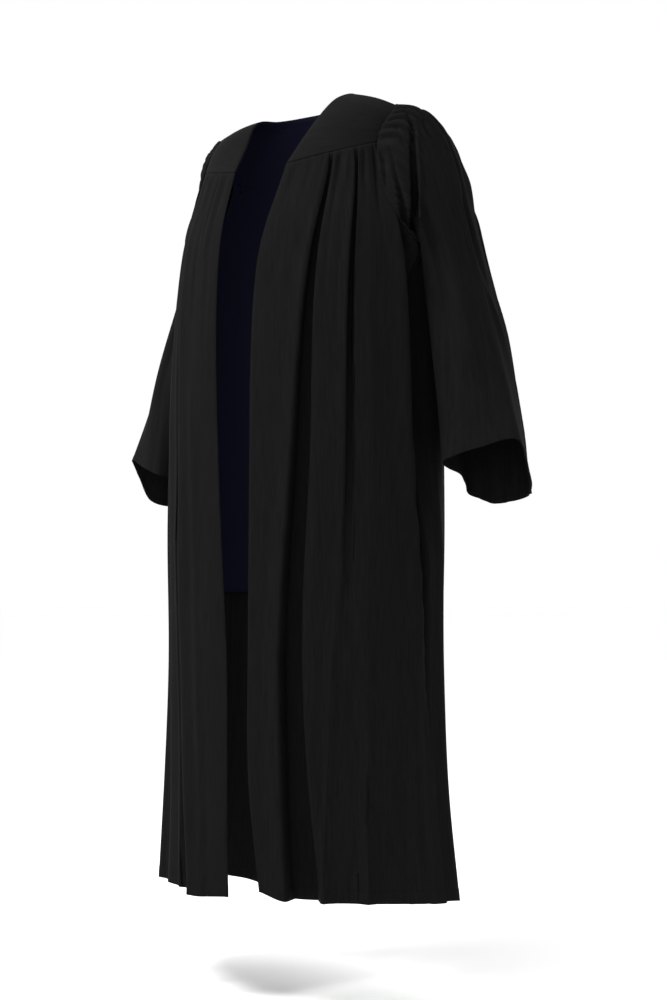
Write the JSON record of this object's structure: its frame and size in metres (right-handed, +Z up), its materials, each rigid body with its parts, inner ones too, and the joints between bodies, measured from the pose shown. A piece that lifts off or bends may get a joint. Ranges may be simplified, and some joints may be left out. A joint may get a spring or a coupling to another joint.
{
  "type": "choir gown",
  "caption": "Open-front black choir gown with a smooth yoke, pleated fronts and back, wide bell sleeves gathered at the head, and a navy back lining.",
  "frame": {"origin": "midway between the two neck points, where the wearer's shoulders carry the gown", "axes": "+Z up, the wearer faces -Y, and the wearer's left is +X"},
  "size_m": [0.8322, 0.3642, 1.3691],
  "materials": {
    "gown_cloth": "matt plain-weave polyester",
    "lining_cloth": "matt smooth lining"
  },
  "bodies": {
    "root": {"yoke": "gown_cloth", "front_left": "gown_cloth", "front_right": "gown_cloth", "back": "gown_cloth", "sleeve_left": "gown_cloth", "sleeve_right": "gown_cloth", "back_lining": "lining_cloth"}
  },
  "joints": []
}
